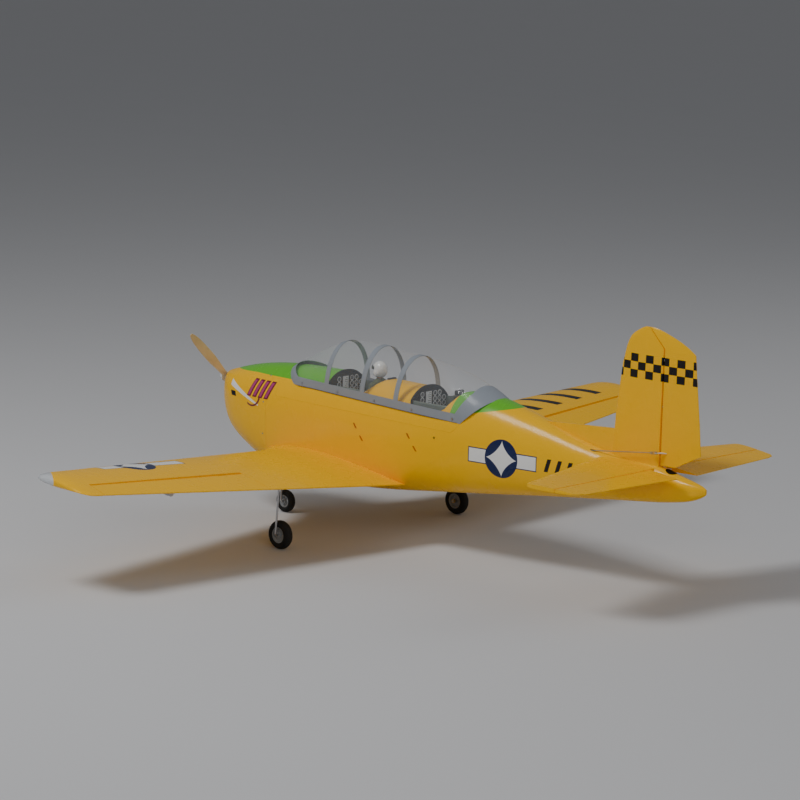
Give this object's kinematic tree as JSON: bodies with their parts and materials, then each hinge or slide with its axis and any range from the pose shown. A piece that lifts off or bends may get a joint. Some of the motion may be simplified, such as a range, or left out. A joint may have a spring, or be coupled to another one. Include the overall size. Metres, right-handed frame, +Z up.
{
  "type": "radio-controlled model aeroplane",
  "caption": "Low-wing radio-controlled monoplane with a tandem bubble canopy, two-blade propeller, hinged control surfaces with linkages and a three-wheel undercarriage.",
  "frame": {"origin": "On the ground under the middle of the overall length and span, in the plane of symmetry.", "axes": "+X towards the nose, +Y towards the left wing tip, +Z up."},
  "size_m": [1.575, 2.01, 0.6165],
  "materials": {
    "wing_film": "gloss",
    "yellow_paint": "gloss",
    "plywood": "satin",
    "servo_case": "satin",
    "mount_alloy": "satin",
    "engine_case": "satin",
    "muffler_steel": "satin",
    "tank_plastic": "satin",
    "battery_wrap": "gloss",
    "receiver_case": "satin",
    "tube_alloy": "satin",
    "lens": "gloss",
    "hinge_nylon": "satin",
    "gear_steel": "satin",
    "collar_brass": "polished",
    "bracket_nylon": "satin",
    "frame_grey": "satin",
    "canopy_clear": "gloss",
    "screw_steel": "satin",
    "panel_black": "matte",
    "cockpit_grey": "matte",
    "seat_grey": "matte",
    "pilot_cloth": "matte",
    "prop_wood": "gloss",
    "nut_alloy": "polished",
    "shaft_steel": "polished",
    "fittings_nylon": "satin",
    "hub_plastic": "satin",
    "tyre_rubber": "matte",
    "arm_nylon": "satin",
    "rod_steel": "satin"
  },
  "bodies": {
    "airframe": {"fuselage_left_shell": "yellow_paint", "fuselage_right_shell": "yellow_paint", "cowl": "yellow_paint", "firewall": "plywood", "fuselage_formers": "plywood", "servo_tray": "plywood", "fuselage_servos": "servo_case", "engine_mount": "mount_alloy", "engine_block": "engine_case", "muffler": "muffler_steel", "fuel_tank": "tank_plastic", "battery_pack": "battery_wrap", "receiver": "receiver_case", "wing_left_panel": "wing_film", "wing_right_panel": "wing_film", "wing_tube": "tube_alloy", "aileron_servos": "servo_case", "wing_tip_lights": "lens", "surface_hinge_eyes": "hinge_nylon", "fin": "wing_film", "tailplane": "wing_film", "main_gear_leg_left": "gear_steel", "main_gear_leg_right": "gear_steel", "wheel_collars": "collar_brass", "nose_gear_bracket": "bracket_nylon"},
    "hatch": {"hatch_shell": "yellow_paint", "canopy_frame": "frame_grey", "canopy_glazing": "canopy_clear", "canopy_screws": "screw_steel", "instrument_panels": "panel_black", "cockpit_tub": "cockpit_grey", "pilot_seats": "seat_grey", "pilot_figure": "pilot_cloth"},
    "propeller_assembly": {"propeller": "prop_wood", "spinner_nut": "nut_alloy", "crankshaft": "shaft_steel"},
    "aileron_left_surface": {"aileron_left": "wing_film", "aileron_left_fittings": "fittings_nylon"},
    "aileron_right_surface": {"aileron_right": "wing_film", "aileron_right_fittings": "fittings_nylon"},
    "elevator_surfaces": {"elevator_left": "wing_film", "elevator_right": "wing_film", "elevator_fittings": "fittings_nylon"},
    "rudder_surface": {"rudder": "wing_film", "rudder_fittings": "fittings_nylon"},
    "nose_gear": {"nose_gear_leg": "gear_steel"},
    "nose_wheel": {"nose_wheel_hub": "hub_plastic", "nose_wheel_tyre": "tyre_rubber"},
    "left_wheel": {"left_wheel_hub": "hub_plastic", "left_wheel_tyre": "tyre_rubber"},
    "right_wheel": {"right_wheel_hub": "hub_plastic", "right_wheel_tyre": "tyre_rubber"},
    "aileron_left_arm": {"aileron_servo_arm_left": "arm_nylon"},
    "aileron_right_arm": {"aileron_servo_arm_right": "arm_nylon"},
    "rudder_arm": {"rudder_servo_arm": "arm_nylon"},
    "elevator_arm": {"elevator_servo_arm": "arm_nylon"},
    "aileron_left_rod": {"aileron_pushrod_left": "rod_steel"},
    "aileron_right_rod": {"aileron_pushrod_right": "rod_steel"},
    "rudder_rod": {"rudder_pushrod": "rod_steel"},
    "elevator_rod": {"elevator_pushrod": "rod_steel"}
  },
  "joints": [
    {"name": "prop_spin", "type": "hinge", "parent": "airframe", "child": "propeller_assembly", "pos_m": [0.765, 0, 0.317], "axis": [1, 0, 0], "continuous": true},
    {"name": "hatch_lift", "type": "slide", "parent": "airframe", "child": "hatch", "axis": [0, 0, 1], "range_m": [0, 0.15]},
    {"name": "aileron_left_hinge", "type": "hinge", "parent": "airframe", "child": "aileron_left_surface", "pos_m": [0.224, 0.48, 0.19111], "axis": [0, 0.9962, 0.087], "range_deg": [-20, 20]},
    {"name": "aileron_right_hinge", "type": "hinge", "parent": "airframe", "child": "aileron_right_surface", "pos_m": [0.224, -0.48, 0.19111], "axis": [0, 0.9962, -0.087], "range_deg": [-20, 20]},
    {"name": "aileron_left_arm_turn", "type": "hinge", "parent": "airframe", "child": "aileron_left_arm", "pos_m": [0.29, 0.69817, 0.21017], "axis": [0, 0.9962, 0.087], "range_deg": [-20, 20]},
    {"name": "aileron_right_arm_turn", "type": "hinge", "parent": "airframe", "child": "aileron_right_arm", "pos_m": [0.29, -0.69817, 0.21017], "axis": [0, 0.9962, -0.087], "range_deg": [-20, 20]},
    {"name": "aileron_left_rod_slide", "type": "slide", "parent": "airframe", "child": "aileron_left_rod", "axis": [1, 0, 0], "range_m": [-0.0085, 0.0085]},
    {"name": "aileron_right_rod_slide", "type": "slide", "parent": "airframe", "child": "aileron_right_rod", "axis": [1, 0, 0], "range_m": [-0.0085, 0.0085]},
    {"name": "elevator_hinge", "type": "hinge", "parent": "airframe", "child": "elevator_surfaces", "pos_m": [-0.65, 0, 0.29075], "axis": [0, 1, 0], "range_deg": [-20, 20]},
    {"name": "elevator_arm_turn", "type": "hinge", "parent": "airframe", "child": "elevator_arm", "pos_m": [0.13, -0.042, 0.242], "axis": [0, 0, 1], "range_deg": [-20, 20]},
    {"name": "elevator_rod_slide", "type": "slide", "parent": "airframe", "child": "elevator_rod", "axis": [0.9991, 0.0218, -0.0368], "range_m": [-0.0071, 0.0071]},
    {"name": "rudder_hinge", "type": "hinge", "parent": "airframe", "child": "rudder_surface", "pos_m": [-0.655, 0, 0.3045], "axis": [0, 0, 1], "range_deg": [-22, 22]},
    {"name": "rudder_arm_turn", "type": "hinge", "parent": "airframe", "child": "rudder_arm", "pos_m": [0.13, 0.042, 0.242], "axis": [0, 0, 1], "range_deg": [-22, 22]},
    {"name": "rudder_rod_slide", "type": "slide", "parent": "airframe", "child": "rudder_rod", "axis": [1, 0, 0], "range_m": [-0.0078, 0.0078]},
    {"name": "nose_steer", "type": "hinge", "parent": "airframe", "child": "nose_gear", "pos_m": [0.545, 0, 0.15], "axis": [0, 0, 1], "range_deg": [-22, 22]},
    {"name": "nose_wheel_spin", "type": "hinge", "parent": "nose_gear", "child": "nose_wheel", "pos_m": [0.545, 0, 0.0285], "axis": [0, 1, 0], "continuous": true},
    {"name": "left_wheel_spin", "type": "hinge", "parent": "airframe", "child": "left_wheel", "pos_m": [0.248, 0.315, 0.035], "axis": [0, 1, 0], "continuous": true},
    {"name": "right_wheel_spin", "type": "hinge", "parent": "airframe", "child": "right_wheel", "pos_m": [0.248, -0.315, 0.035], "axis": [0, 1, 0], "continuous": true}
  ],
  "couplings": [
    {"joint": "aileron_right_hinge", "follows": "aileron_left_hinge", "ratio": -1},
    {"joint": "aileron_left_arm_turn", "follows": "aileron_left_hinge", "ratio": 1},
    {"joint": "aileron_right_arm_turn", "follows": "aileron_left_hinge", "ratio": -1},
    {"joint": "aileron_left_rod_slide", "follows": "aileron_left_hinge", "m_per_rad": -0.024},
    {"joint": "aileron_right_rod_slide", "follows": "aileron_left_hinge", "m_per_rad": 0.024},
    {"joint": "elevator_arm_turn", "follows": "elevator_hinge", "ratio": 1},
    {"joint": "elevator_rod_slide", "follows": "elevator_hinge", "m_per_rad": -0.02},
    {"joint": "rudder_arm_turn", "follows": "rudder_hinge", "ratio": -1},
    {"joint": "rudder_rod_slide", "follows": "rudder_hinge", "m_per_rad": -0.02},
    {"joint": "nose_steer", "follows": "rudder_hinge", "ratio": -1}
  ]
}
